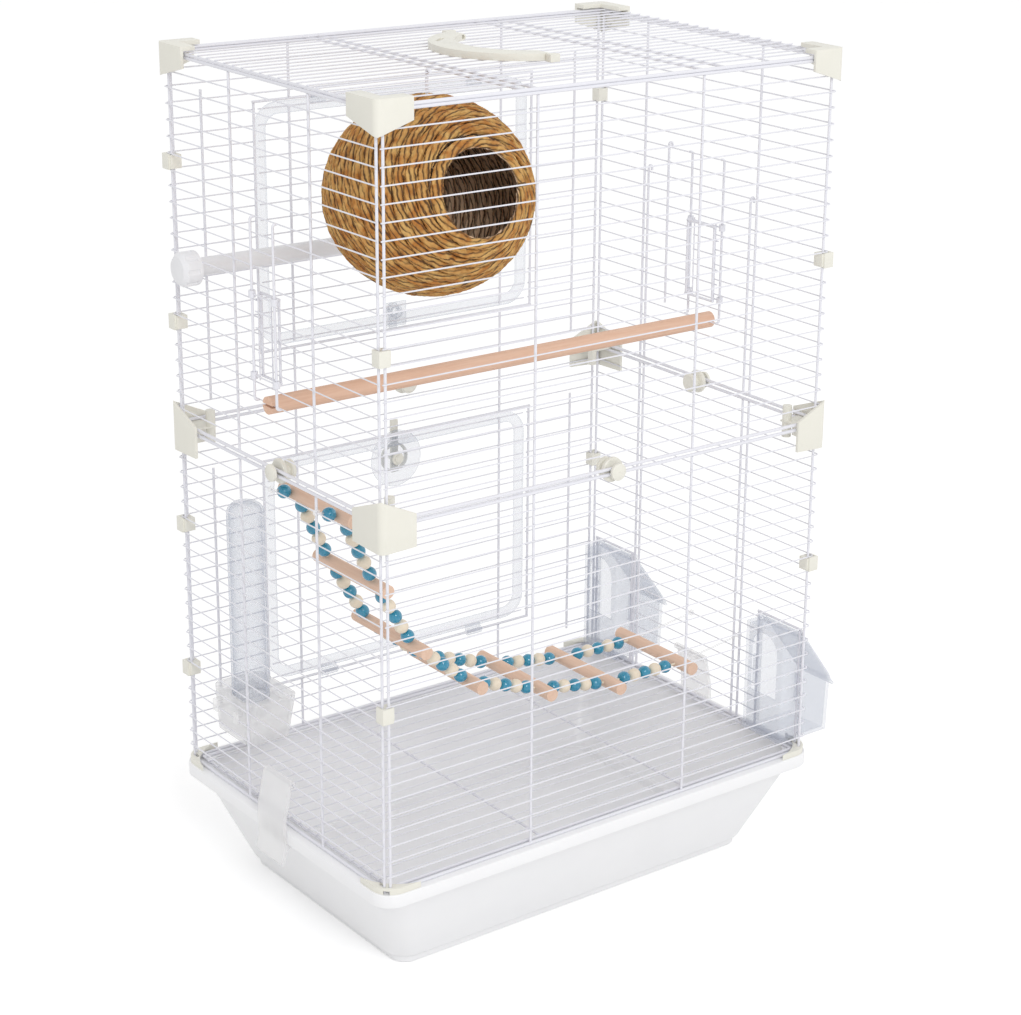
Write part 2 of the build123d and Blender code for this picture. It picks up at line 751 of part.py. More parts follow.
def make_tube():
    """Clear seed tube, closed and rounded at the top."""
    def shell(shrink, low):
        r = tube_d / 2 - shrink
        corner = tube_round - shrink
        top = tube_high - shrink
        outline = Line((0, low), (r, low)) + Line((r, low), (r, top - corner))
        outline += ThreePointArc((r, top - corner), (r - corner * (1 - cos(pi / 4)), top - corner * (1 - cos(pi / 4))),
                                 (r - corner, top))
        outline += Line((r - corner, top), (0, top)) + Line((0, top), (0, low))
        return revolve(Plane.XZ * make_face(outline), Axis.Z, 360)

    return Pos(tube_x, tube_y, 0) * (shell(0, tube_low) - shell(tube_wall, tube_low - 1))


cup_back = -(half_x - post_r - seat_gap)


def make_tube_cup():
    """Scoop cup under the tube, with a deck that holds the tube and two hooks over a wall wire."""
    centre_x = cup_back + cup_depth / 2

    def bowl(shrink, low, high):
        narrow = RectangleRounded(cup_depth - cup_draft - 2 * shrink, cup_width - 2 * cup_draft - 2 * shrink,
                                  tube_round - shrink)
        wide = RectangleRounded(cup_depth - 2 * shrink, cup_width - 2 * shrink, tube_round - shrink)
        return loft([Pos(centre_x - cup_draft / 2, tube_y, low) * narrow, Pos(centre_x, tube_y, high) * wide])

    cup = bowl(0, cup_low, cup_high) - bowl(cup_wall, cup_low + cup_wall, cup_high + cup_wall / 2)
    deck = block(cup_back + cup_wall / 2, tube_x + tube_d / 2 + cup_wall, tube_y - cup_width / 2 + cup_wall / 2,
                 tube_y + cup_width / 2 - cup_wall / 2, cup_deck_z, cup_deck_z + cup_wall)
    cup += deck & bowl(0, cup_low, cup_high)
    cup -= rod((tube_x, tube_y, tube_low), (tube_x, tube_y, cup_high + 5), tube_d + 2 * seat_gap)
    hook_z = nearest(lower_gaps, cup_deck_z)
    hook_out = -(half_x + skin + seat_gap)
    for y in (tube_y - cup_width / 4, tube_y + cup_width / 4):
        cup += block(cup_back + cup_wall / 2, hook_out - clip_wall, y - 3, y + 3, hook_z - 1.2, hook_z + 1.2)
        cup += block(hook_out, hook_out - clip_wall, y - 3, y + 3, hook_z + 1.2, hook_z - wire_pitch * 0.7)
    return cup


handle_low = roof_top + seat_gap
handle_axis_z = handle_low + handle_thick / 2


def make_handle():
    """Crescent bail with an eye at each end."""
    back = handle_x - handle_reach
    inner_half = handle_half - handle_eye
    outline = ThreePointArc((handle_x, -handle_half), (back, 0), (handle_x, handle_half))
    outline += Line((handle_x, handle_half), (handle_x, inner_half))
    outline += ThreePointArc((handle_x, inner_half), (back + handle_band, 0), (handle_x, -inner_half))
    outline += Line((handle_x, -inner_half), (handle_x, -handle_half))
    bail = Pos(0, 0, handle_low) * extrude(make_face(outline), handle_thick)
    for side in (-1, 1):
        bail += rod((handle_x, side * inner_half, handle_axis_z), (handle_x, side * handle_half, handle_axis_z),
                    handle_thick)
        bail -= rod((handle_x, side * (inner_half - 5), handle_axis_z),
                    (handle_x, side * (handle_half + 1), handle_axis_z), 2 * (handle_pin_r + hinge_gap))
    slot = Pos(handle_x - handle_reach * 0.62, handle_half * 0.52, handle_low) * Rot(0, 0, 38) * extrude(
        SlotOverall(handle_eye, handle_thick * 0.6), handle_thick)
    return bail - slot


def make_handle_brackets():
    """Two blocks clipped on the roof wires, each with the pin that a bail's eye turns on."""
    pieces = []
    low = roof_top + touch
    half = handle_thick * 0.8
    for side in (-1, 1):
        face = side * (handle_half + seat_gap)
        piece = block(handle_x - half, handle_x + half, face, face + side * bracket_length, low,
                      handle_low + handle_thick)
        piece += rod((handle_x, face + side, handle_axis_z),
                     (handle_x, side * (handle_half - handle_eye + 2), handle_axis_z), 2 * handle_pin_r)
        pieces.append(piece)
    return pieces


clip_level = nearest(lower_levels, clip_top_z)


def make_tray_clip(side):
    """Sprung strap that hangs on a wall wire and hooks under the tray's rim."""
    eye_in = wire_r + hinge_gap
    eye_out = eye_in + clip_plate * 0.7
    wire_x = half_x + thin_out
    rim_x = tray_length / 2 + seat_gap
    rim_low = tray_height - tray_skirt - seat_gap
    t = clip_plate
    outline = [(wire_x + eye_in, clip_level), (wire_x + eye_out, clip_level),
               (rim_x + t, tray_height + 10), (rim_x + t, rim_low - t - 2), (rim_x + 2 * t, clip_tail_z),
               (rim_x + t, clip_tail_z), (rim_x, rim_low - t - 2), (rim_x - 1.5 * t, rim_low - t),
               (rim_x - 1.5 * t, rim_low), (rim_x, rim_low), (rim_x, tray_height + 9),
               (wire_x + eye_in + 0.5, clip_level - 6)]
    y0 = clip_y - clip_width / 2
    y1 = clip_y + clip_width / 2
    strap = prism_xz(outline, y0, y1)
    strap += rod((wire_x, y0, clip_level), (wire_x, y1, clip_level), 2 * eye_out)
    strap -= rod((wire_x, y0 - 1, clip_level), (wire_x, y1 + 1, clip_level), 2 * eye_in)
    return strap if side > 0 else mirror(strap, about=Plane.YZ)


def strand_sides():
    """Y of the two ladder cords."""
    return (ladder_y - strand_gap / 2, ladder_y + strand_gap / 2)


hook_left = (-(half_x + thin_out), nearest(lower_levels, rung_points[0][1] + 8))
hook_right = (half_x + thin_out, nearest(lower_levels, rung_points[-1][1] + 8))


def make_rungs():
    """Seven dowels, each drilled for the two cords."""
    pieces = []
    ends = [hook_left, *rung_points, hook_right]
    for k, (x, z) in enumerate(rung_points, start=1):
        rung = rod((x, ladder_y - rung_length / 2, z), (x, ladder_y + rung_length / 2, z), rung_d)
        for y in strand_sides():
            for other in (ends[k - 1], ends[k + 1]):
                way = Vector(other[0] - x, 0, other[1] - z).normalized() * rung_d
                rung -= rod((x, y, z), (x + way.X, y, z + way.Z), cord_d + 2 * touch)
        pieces.append(rung)
    return pieces


def bead_row(start, end):
    """Centres and direction of the beads between two rungs."""
    a = Vector(start[0], 0, start[1])
    b = Vector(end[0], 0, end[1])
    way = (b - a).normalized()
    first = ((b - a).length - (beads_between - 1) * bead_length * 1.02) / 2
    return [a + way * (first + k * bead_length * 1.02) for k in range(beads_between)], way


def make_bead(centre, way, y):
    """A barrel bead with eight sides, bored for its cord."""
    half = bead_length / 2
    base = Plane(Vector(centre.X, y, centre.Z) - way * half, x_dir=(0, 1, 0), z_dir=way)
    small = RegularPolygon(bead_d * 0.36, 8)
    large = RegularPolygon(bead_d / 2, 8)
    bead = loft([base * small, base.offset(half * 0.55) * large, base.offset(half * 1.45) * large,
                 base.offset(bead_length) * small], ruled=True)
    return bead - extrude(base * RegularPolygon(cord_d / 2 + touch, 4, major_radius=False), bead_length)


def make_beads(parity):
    """Every second bead of each row. Parity 0 takes the odd ones, which start and end a row."""
    pieces = []
    for start, end in zip(rung_points, rung_points[1:]):
        centres, way = bead_row(start, end)
        for k, centre in enumerate(centres):
            if k % 2 == parity:
                pieces += [make_bead(centre, way, y) for y in strand_sides()]
    if parity == 0:
        a = Vector(rung_points[0][0], 0, rung_points[0][1])
        way = (Vector(hook_left[0], 0, hook_left[1]) - a).normalized()
        centre = a + way * (rung_d / 2 + bead_length / 2 + touch)
        pieces += [make_bead(centre, way, y) for y in strand_sides()]
    return pieces


def make_cords():
    """Two cords that run from rung to rung, straight between them."""
    pieces = []
    for y in strand_sides():
        for start, end in zip(rung_points, rung_points[1:]):
            way = Vector(end[0] - start[0], 0, end[1] - start[1]).normalized()
            margin = way * (rung_d * 0.3)
            pieces.append(rod((start[0] + margin.X, y, start[1] + margin.Z),
                              (end[0] - margin.X, y, end[1] - margin.Z), cord_d))
    return pieces


def make_ladder_hooks():
    """A wire eye round a wall wire at each cord's end, with its shank into the end rung."""
    pieces = []
    bore = wire_r + hinge_gap
    for hook, rung in ((hook_left, rung_points[0]), (hook_right, rung_points[-1])):
        way = Vector(rung[0] - hook[0], 0, rung[1] - hook[1]).normalized()
        start = way * (bore + cord_d / 2)
        end = way * -(rung_d * 0.3)
        for y in strand_sides():
            eye = rod((hook[0], y - cord_d / 2, hook[1]), (hook[0], y + cord_d / 2, hook[1]), 2 * (bore + cord_d))
            eye += rod((hook[0] + start.X, y, hook[1] + start.Z), (rung[0] + end.X, y, rung[1] + end.Z), cord_d)
            eye -= rod((hook[0], y - cord_d, hook[1]), (hook[0], y + cord_d, hook[1]), 2 * bore)
            pieces.append(eye)
    return pieces


save("tray", make_tray())
save("floor_grille", *grille(on_floor, half_x - 2 * corner_inset, -half_y + 2 * rim_d, half_y - 2 * rim_d,
                             levels(-half_y + 2 * rim_d, half_y - 2 * rim_d), (-58.0, 77.0)))
tiers = {"lower": (floor_rim, tier_top, lower_levels), "upper": (tier_base, roof_rim, upper_levels)}
door_holes = {"lower": door_hole(lower_door_sill, lower_door_head),
              "upper": door_hole(upper_door_sill, upper_door_head)}
back_ties = {"lower": (102.0, 311.0), "upper": (364.0, 592.0)}
right_holes = {"lower": [feeder_hole(-feeder_y), feeder_hole(feeder_y)],
               "upper": [lift_hole(right_lift_y, right_lift_half)]}
right_short = {"lower": [(70.0, floor_rim, tier_top), (-50.0, floor_rim, tier_top)],
               "upper": [(70.0, tier_base, 507.0), (-50.0, tier_base, 503.0), (46.0, 403.0, 529.0)]}
for tier, (low, high, rows) in tiers.items():
    side_x = half_x - corner_inset
    side_y = half_y - corner_inset
    save(f"front_{tier}_panel", *grille(on_front, side_x, low, high, rows, (-70.5, 70.5)))
    ties = [(-167.0, *back_ties[tier]), (167.0, *back_ties[tier])]
    save(f"back_{tier}_panel", *grille(on_back, side_x, low, high, rows, (-door_post_x, door_post_x), ties,
                                       [door_holes[tier]]))
    left_holes = [lift_hole(left_lift_y, left_lift_half)] if tier == "upper" else []
    save(f"left_{tier}_panel", *grille(on_left, side_y, low, high, rows, (-52.0, 48.0), (), left_holes))
    save(f"right_{tier}_panel", *grille(on_right, side_y, low, high, rows, (-57.0, 75.0), right_short[tier],
                                        right_holes[tier]))
save("roof_panel", *grille(on_roof, half_x, -half_y, half_y, roof_levels, (-81.0, -70.0, 70.0, 90.0),
                           overhang=post_r))

for where, shape in all_corners(make_top_cap()).items():
    save(f"top_cap_{where}", shape)
for where, shape in all_corners(make_link()).items():
    save(f"tier_link_{where}", shape)
save("base_corners", *all_corners(make_base_corner()).values())
save("wall_buttons", *[make_button(place) for place in (on_front, on_back, on_left, on_right)])
save("edge_clips", *make_edge_clips())

upper_low = upper_door_sill + post_r + door_gap
upper_high = upper_door_head - post_r - door_gap
lower_low = lower_door_sill + post_r + door_gap
lower_high = lower_door_head - post_r - door_gap
upper_latch_z = nearest(upper_gaps, upper_door_sill + wire_pitch)
lower_latch_z = nearest(lower_gaps, lower_high - latch_disc_drop)
save("upper_door_frame", make_door_frame(upper_low, upper_high) - make_latch_bore(upper_latch_z))
save("upper_door_grille", *make_door_grille(upper_low, upper_high, upper_levels))
save("upper_door_hinges", *make_door_hinges(upper_door_head, -1))
save("upper_latch_plate", make_latch_square(upper_latch_z))
save("upper_latch", make_latch(upper_latch_z, -(upper_latch_z - upper_door_sill + 4), 5.5))
save("lower_door_frame", make_door_frame(lower_low, lower_high) - make_latch_bore(lower_latch_z))
save("lower_door_grille", *make_door_grille(lower_low, lower_high, lower_levels))
save("lower_door_hinges", *make_door_hinges(lower_door_sill, 1))
save("lower_latch_disc", make_latch_disc(lower_latch_z))
save("lower_latch", make_latch(lower_latch_z, lower_door_head - lower_latch_z + 8, latch_ring_r))

save("left_door_rails", *make_rails(left_lift_y, left_lift_half, -1))
save("left_lift_door", *make_lift_door(left_lift_y, left_lift_half, -1))
save("right_door_rails", *make_rails(right_lift_y, right_lift_half, 1))
save("right_lift_door", *make_lift_door(right_lift_y, right_lift_half, 1))

save("wooden_perch", make_perch())
save("knob_perch", make_knob_perch())
save("perch_knob", make_knob())
save("nest_ball", make_nest_ball())
save("nest_ball_hook", make_ball_hook())

for where, centre in (("front", -feeder_y), ("back", feeder_y)):
    save(f"{where}_feeder", make_feeder(centre))
    save(f"{where}_feeder_lid", make_feeder_lid(centre))
save("seed_tube", make_tube())
save("seed_cup", make_tube_cup())
save("handle", make_handle())
save("handle_brackets", *make_handle_brackets())
save("left_tray_clip", make_tray_clip(-1))
save("right_tray_clip", make_tray_clip(1))

save("ladder_rungs", *make_rungs())
save("ladder_beads_blue", *make_beads(0))
save("ladder_beads_plain", *make_beads(1))
save("ladder_cords", *make_cords())
save("ladder_hooks", *make_ladder_hooks())
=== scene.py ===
# %% [markdown]
# # A two-storey wire bird cage
# The cage is a set of welded wire grilles that clip together on a moulded tray. The CAD frame
# already holds every wire in its true place, so this script keeps those meshes and gives them
# real finishes. It makes new meshes only where the CAD is plainer than the real thing: the
# coiled grass nest, the turned beads, and the softened edges of moulded plastic.

import json
from math import asin, cos, pi, radians, sin, sqrt

import bmesh
import bpy
from mathutils import Matrix, Vector, noise


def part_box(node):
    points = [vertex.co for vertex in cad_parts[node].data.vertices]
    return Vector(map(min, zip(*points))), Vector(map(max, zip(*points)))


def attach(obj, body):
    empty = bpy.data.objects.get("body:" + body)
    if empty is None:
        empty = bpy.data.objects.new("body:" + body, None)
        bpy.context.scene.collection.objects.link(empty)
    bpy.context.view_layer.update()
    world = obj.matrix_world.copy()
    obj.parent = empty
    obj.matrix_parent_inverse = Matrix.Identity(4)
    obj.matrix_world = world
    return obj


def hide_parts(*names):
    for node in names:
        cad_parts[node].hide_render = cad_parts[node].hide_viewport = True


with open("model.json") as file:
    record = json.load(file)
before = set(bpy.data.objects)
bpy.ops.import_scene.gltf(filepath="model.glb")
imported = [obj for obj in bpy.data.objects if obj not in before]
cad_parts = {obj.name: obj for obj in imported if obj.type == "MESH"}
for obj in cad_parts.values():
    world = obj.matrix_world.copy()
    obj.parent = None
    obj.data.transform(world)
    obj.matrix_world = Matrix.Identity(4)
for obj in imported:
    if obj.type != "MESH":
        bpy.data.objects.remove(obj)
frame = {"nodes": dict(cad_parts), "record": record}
nodes = frame["nodes"]
bodies = frame["record"]["behaviour"]["bodies"]
body_of_node = {name: body for body, names in bodies.items() for name in names}
slot_of_node = {part["node"]: part["material_slot"] for part in frame["record"]["subparts"]}
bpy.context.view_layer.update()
MM = 0.001

# %% [markdown]
# ## Colour and nodes
# Designers write colours as sRGB hex values. Shaders work in linear light, so one function
# turns the first into the second. A second function adds a shader node with its settings and
# its links in one call, which keeps each material short.


# %% Two helpers for materials
def linear(hex_colour):
    """An sRGB hex colour as the linear RGBA that a shader takes."""
    parts = [int(hex_colour[i:i + 2], 16) / 255 for i in (1, 3, 5)]
    return [c / 12.92 if c <= 0.04045 else ((c + 0.055) / 1.055) ** 2.4 for c in parts] + [1.0]


def add_node(tree, kind, values=None, links=None, **properties):
    """A new node: properties first, then socket values, then links from other sockets."""
    node = tree.nodes.new(kind)
    for name, value in properties.items():
        setattr(node, name, value)
    for name, value in (values or {}).items():
        node.inputs[name].default_value = value
    for name, socket in (links or {}).items():
        tree.links.new(socket, node.inputs[name])
    return node


# %% [markdown]
# ## One recipe for a surface
# Most of these finishes are one colour with a slight unevenness: powder coat has orange peel,
# moulded plastic has faint flow marks, wood has grain. All three are noise with a size in
# millimetres. Noise is stretched along the grain by scaling its coordinates, because fibres
# are long one way and narrow the other.


# %% Surface recipe
def surface(name, colour, second, roughness, feature_mm, relief_mm, **sockets):
    """A finish that varies between two colours in features of the given size along X, Y and Z."""
    material = bpy.data.materials.new(name)
    material.use_nodes = True
    tree = material.node_tree
    shader = tree.nodes["Principled BSDF"]
    shader.inputs["Roughness"].default_value = roughness
    for socket, value in sockets.items():
        shader.inputs[socket.replace("_", " ")].default_value = value
    place = add_node(tree, "ShaderNodeTexCoord")
    spread = add_node(tree, "ShaderNodeVectorMath", {1: [1 / (f * MM) for f in feature_mm]},
                      {0: place.outputs["Object"]}, operation="MULTIPLY")
    mottle = add_node(tree, "ShaderNodeTexNoise", {"Scale": 1.0, "Detail": 3.0, "Roughness": 0.55},
                      {"Vector": spread.outputs["Vector"]})
    mix = add_node(tree, "ShaderNodeMix", {6: linear(colour), 7: linear(second)},
                   {0: mottle.outputs["Fac"]}, data_type="RGBA")
    bump = add_node(tree, "ShaderNodeBump", {"Strength": 0.6, "Distance": relief_mm * MM},
                    {"Height": mottle.outputs["Fac"]})
    tree.links.new(mix.outputs[2], shader.inputs["Base Color"])
    tree.links.new(bump.outputs["Normal"], shader.inputs["Normal"])
    print("material", name)
    return material


# %% [markdown]
# ## The real materials
# * The wire is steel with white epoxy powder coat: glossy under a thin skin, with orange peel
#   about a millimetre across.
# * The tray is high-impact polystyrene, moulded in a polished tool, so it is white and satin.
# * Caps, links, clips and the handle are polypropylene, which is warmer and a little duller.
# * Doors, feeders and the seed tube are clear polystyrene. A wall 2 mm thick is hardly seen face
#   on, and pale grey along its edges, where the eye looks through more of it. So its cover grows
#   with the angle at which it is seen, as the shader's own Layer Weight gives it.
# * The scoop cup and the tray clips are natural polypropylene, which is milky: the same recipe
#   with more cover face on.

# %% Plastics and wire
powder_coat = surface("epoxy_powder_coat_on_steel", "#E3E3EA", "#EAEAF0", 0.32, (1.2, 1.2, 1.2), 0.02,
                      Coat_Weight=0.25)
white_polystyrene = surface("high_impact_polystyrene_white", "#F3F3F5", "#F8F8F9", 0.33, (40, 40, 25), 0.02,
                            Coat_Weight=0.15)
ivory_polypropylene = surface("moulded_polypropylene_ivory", "#E6E4D9", "#ECEAE0", 0.38, (18, 18, 18), 0.02)
clear_polystyrene = surface("clear_polystyrene", "#CBD1DF", "#D6DBE6", 0.07, (25, 25, 25), 0.01)
milky_polypropylene = surface("natural_polypropylene_milky", "#F8F7F8", "#FCFCFC", 0.34, (15, 15, 15), 0.02)


def see_through(material, face_on, edge_on):
    """Lets a thin moulding show what is behind it, less so where it is seen along its skin."""
    tree = material.node_tree
    weight = add_node(tree, "ShaderNodeLayerWeight", {"Blend": 0.5})
    steep = add_node(tree, "ShaderNodeMath", {1: 2.2}, {0: weight.outputs["Facing"]}, operation="POWER")
    cover = add_node(tree, "ShaderNodeMapRange", {"To Min": face_on, "To Max": edge_on},
                     {"Value": steep.outputs[0]})
    tree.links.new(cover.outputs["Result"], tree.nodes["Principled BSDF"].inputs["Alpha"])


see_through(clear_polystyrene, 0.16, 0.75)
see_through(milky_polypropylene, 0.35, 0.8)
white_polypropylene = surface("moulded_polypropylene_white", "#E9E9EC", "#EFEFF1", 0.36, (12, 12, 12), 0.02)

# %% [markdown]
# ## Wood and beads
# The perch and the rungs are bare dowels. Their grain runs along the dowel, so the noise is
# forty times longer that way: along X for the perch and along Y for the ladder's rungs. The
# beads are turned wood, half of them dipped in blue lacquer, which adds a clear coat's shine.

# %% Woods
perch_wood = surface("bare_dowel_wood", "#EECDB6", "#D8A98C", 0.62, (45, 1.8, 1.8), 0.06)
rung_wood = surface("bare_rung_wood", "#F0D3BE", "#DDB69C", 0.62, (1.6, 50, 1.6), 0.06)
bead_wood = surface("bare_bead_wood", "#F3E8D6", "#E8D8BF", 0.55, (3, 3, 1.2), 0.03)
bead_lacquer = surface("blue_lacquer_on_wood", "#087C9E", "#0E92B4", 0.14, (6, 6, 6), 0.02, Coat_Weight=1.0)

# %% [markdown]
# ## Putting a finish on a CAD node
# A CAD node keeps its mesh. Only its material changes. The list below goes by what each piece
# is made of, so that one moulding colour is never set twice.

# %% Finishes by node
finish_of_slot = {"coated_wire": powder_coat, "white_plastic": white_polystyrene,
                  "ivory_plastic": ivory_polypropylene, "clear_plastic": clear_polystyrene,
                  "frosted_plastic": milky_polypropylene, "perch_wood": perch_wood,
                  "blue_beads": bead_lacquer, "seagrass": perch_wood, "ladder_cord": powder_coat}
special_finish = {"ladder_rungs": rung_wood, "ladder_beads_plain": bead_wood, "ladder_cords": bead_wood,
                  "knob_perch": white_polypropylene, "perch_knob": white_polypropylene,
                  "ladder_hooks": milky_polypropylene}


def finish_of(node):
    """The material for a CAD node."""
    return special_finish.get(node, finish_of_slot[slot_of_node[node]])


def coat(piece, material):
    """Gives a piece one material and no other."""
    piece.data.materials.clear()
    piece.data.materials.append(material)


for name, piece in nodes.items():
    coat(piece, finish_of(name))
print("finishes on", len(nodes), "nodes")


# %% [markdown]
# ## Meshes of our own
# A new piece is a list of corners and a list of faces. It rides on the same body as the CAD
# node that it stands for, so that it swings or slides with it.


# %% Helpers for new pieces
smooth_angle = radians(42)  # a steeper edge stays sharp
weld_distance = 0.002 * MM


def make_piece(name, corners, faces, node, material, fibre=None):
    """A mesh object that stands for a CAD node, or that is added beside it."""
    mesh = bpy.data.meshes.new(name)
    mesh.from_pydata([tuple(c) for c in corners], [], faces)
    if fibre:
        layer = mesh.attributes.new("fibre", "FLOAT_VECTOR", "POINT")
        layer.data.foreach_set("vector", [value for row in fibre for value in row])
    mesh.shade_smooth()
    mesh.set_sharp_from_angle(angle=smooth_angle)
    piece = bpy.data.objects.new(name, mesh)
    bpy.context.scene.collection.objects.link(piece)
    coat(piece, material)
    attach(piece, body_of_node[node])
    return piece


# %% [markdown]
# ## Softened edges
# An injection moulding has no knife edges: every edge has a radius of about half a millimetre
# or more, and that radius is what catches the light. The CAD solid is copied, flat faces are
# joined up again, and a bevel rounds each edge that is sharper than 35 degrees. If a bevel
# ever reaches outside the CAD solid's box, the plain copy is kept.


# %% Round the edges of moulded parts
flat_angle = radians(0.8)
bevelled_angle = radians(35)
box_slack = 0.02 * MM


def clean_copy(node):
    """Corners and faces of a CAD node, welded and with flat faces whole."""
    work = bmesh.new()
    work.from_mesh(nodes[node].data)
    bmesh.ops.remove_doubles(work, verts=work.verts, dist=weld_distance)
    bmesh.ops.dissolve_limit(work, angle_limit=flat_angle, verts=work.verts, edges=work.edges)
    corners = [v.co.copy() for v in work.verts]
    faces = [[v.index for v in f.verts] for f in work.faces]
    work.free()
    return corners, faces


def soften(node, radius_mm):
    """A copy of a CAD node with rounded edges, which stands for it."""
    corners, faces = clean_copy(node)
    piece = make_piece(node + "_moulding", corners, faces, node, finish_of(node))
    bevel = piece.modifiers.new("edge radius", "BEVEL")
    bevel.width = radius_mm * MM
    bevel.segments = 3
    bevel.limit_method = "ANGLE"
    bevel.angle_limit = bevelled_angle
    bevel.use_clamp_overlap = True
    bpy.context.view_layer.update()
    rounded = bpy.data.meshes.new_from_object(piece.evaluated_get(bpy.context.evaluated_depsgraph_get()))
    piece.modifiers.clear()
    low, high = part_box(node)
    inside = all(low[i] - box_slack <= v.co[i] <= high[i] + box_slack
                 for v in rounded.vertices for i in range(3))
    if inside:
        rounded.shade_smooth()
        rounded.set_sharp_from_angle(angle=smooth_angle)
        piece.data = rounded
    else:
        print("kept plain:", node)
    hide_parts(node)
    return piece


corner_names = ("back_right", "back_left", "front_right", "front_left")
edge_radius_mm = {"tray": 1.6, "handle": 1.6, "handle_brackets": 0.5, "base_corners": 0.5,
                  "edge_clips": 0.4, "perch_knob": 0.8, "upper_latch": 0.5, "lower_latch": 0.6,
                  "upper_door_frame": 1.0, "lower_door_frame": 1.0, "lower_latch_disc": 0.7,
                  "upper_latch_plate": 0.6, "left_tray_clip": 0.6, "right_tray_clip": 0.6, "seed_cup": 0.5}
for corner in corner_names:
    edge_radius_mm["top_cap_" + corner] = 1.0
    edge_radius_mm["tier_link_" + corner] = 0.9
for node, radius in edge_radius_mm.items():
    soften(node, radius)
print("softened", len(edge_radius_mm), "mouldings")


# %% [markdown]
# ## Tubes along a path
# Rope, wire and cord are all tubes. This function skins a path with rings of corners. The
# direction that counts as out is given at each point, which keeps a flattened rope the right
# way round on a ball. Plies are the ridges of a twisted rope, and lay is the distance in which
# each ply takes its neighbour's place. Three numbers are kept at every corner: how far along
# the rope it is, its phase across the plies, and whether it looks out or in. A phase changes
# evenly between corners, so the shader can draw each groove finer than the mesh is.


# %% Skin a path
lumps_per_metre = 140
lump_turns = 3  # how quickly the lumps change round the tube
lump_share = 0.7  # lumps, as a share of the ridges


def add_tube(skin, path, out_at, half_out, half_side, sides=8, closed=False, plies=0, ridge=0.0, lay=1.0):
    """Adds one tube to the skin, a dictionary of corners, faces and fibre coordinates."""
    count = len(path)
    first = len(skin["corners"])
    run = 0.0
    for k, point in enumerate(path):
        before = path[k - 1] if k or closed else point
        after = path[(k + 1) % count] if k + 1 < count or closed else point
        along = (after - before).normalized()
        out = out_at(point)
        out = (out - along * out.dot(along)).normalized()
        side = along.cross(out)
        for j in range(sides):
            angle = pi + 2 * pi * j / sides
            phase = plies * angle + 2 * pi * run / lay
            round_it = out * (lump_turns * cos(angle)) + side * (lump_turns * sin(angle))
            rough = noise.noise(point * lumps_per_metre + round_it)
            swell = 1 - ridge * (1 - cos(phase)) + lump_share * ridge * (rough - 0.5)
            skin["corners"].append(point + out * (cos(angle) * half_out * swell)
                                   + side * (sin(angle) * half_side * swell))
            skin["fibre"].append((run, phase, cos(angle)))
        if k + 1 < count:
            run += (path[k + 1] - point).length
    for k in range(count if closed else count - 1):
        ring = first + k * sides
        following = first + (k + 1) % count * sides
        for j in range(sides):
            turn = (j + 1) % sides
            skin["faces"].append((ring + j, ring + turn, following + turn, following + j))
    if not closed:
        last = first + (count - 1) * sides
        skin["faces"].append(tuple(range(first + sides - 1, first - 1, -1)))
        skin["faces"].append(tuple(range(last, last + sides)))


def empty_skin():
    """A skin with nothing in it yet."""
    return {"corners": [], "faces": [], "fibre": []}


# %% [markdown]
# ## Dried grass
# The nest is a rope of dried seagrass, wound and stitched row on row. The blades run along the
# rope, so the colour changes quickly across it and slowly along it. Where the blades' noise and
# the grooves between the plies add up, it is painted dark: partly the blades' own darker tone,
# partly painted shade in the grooves. A second noise bends the grooves, because no two blades
# lie alike.
# The side that looks into the nest is painted paler, as painted light that stands in for the
# light bounced about inside a nest. The tube function stores what the material needs at every
# corner.


# %% Seagrass
blades_per_ply = 2.2
blade_length = 26 * MM
blade_relief = 0.9 * MM
blade_share = 1.5  # the blades' noise, as a share of the grooves' depth
patch_size = 8 * MM
bend_size = 9 * MM
bend_radians = 9.0


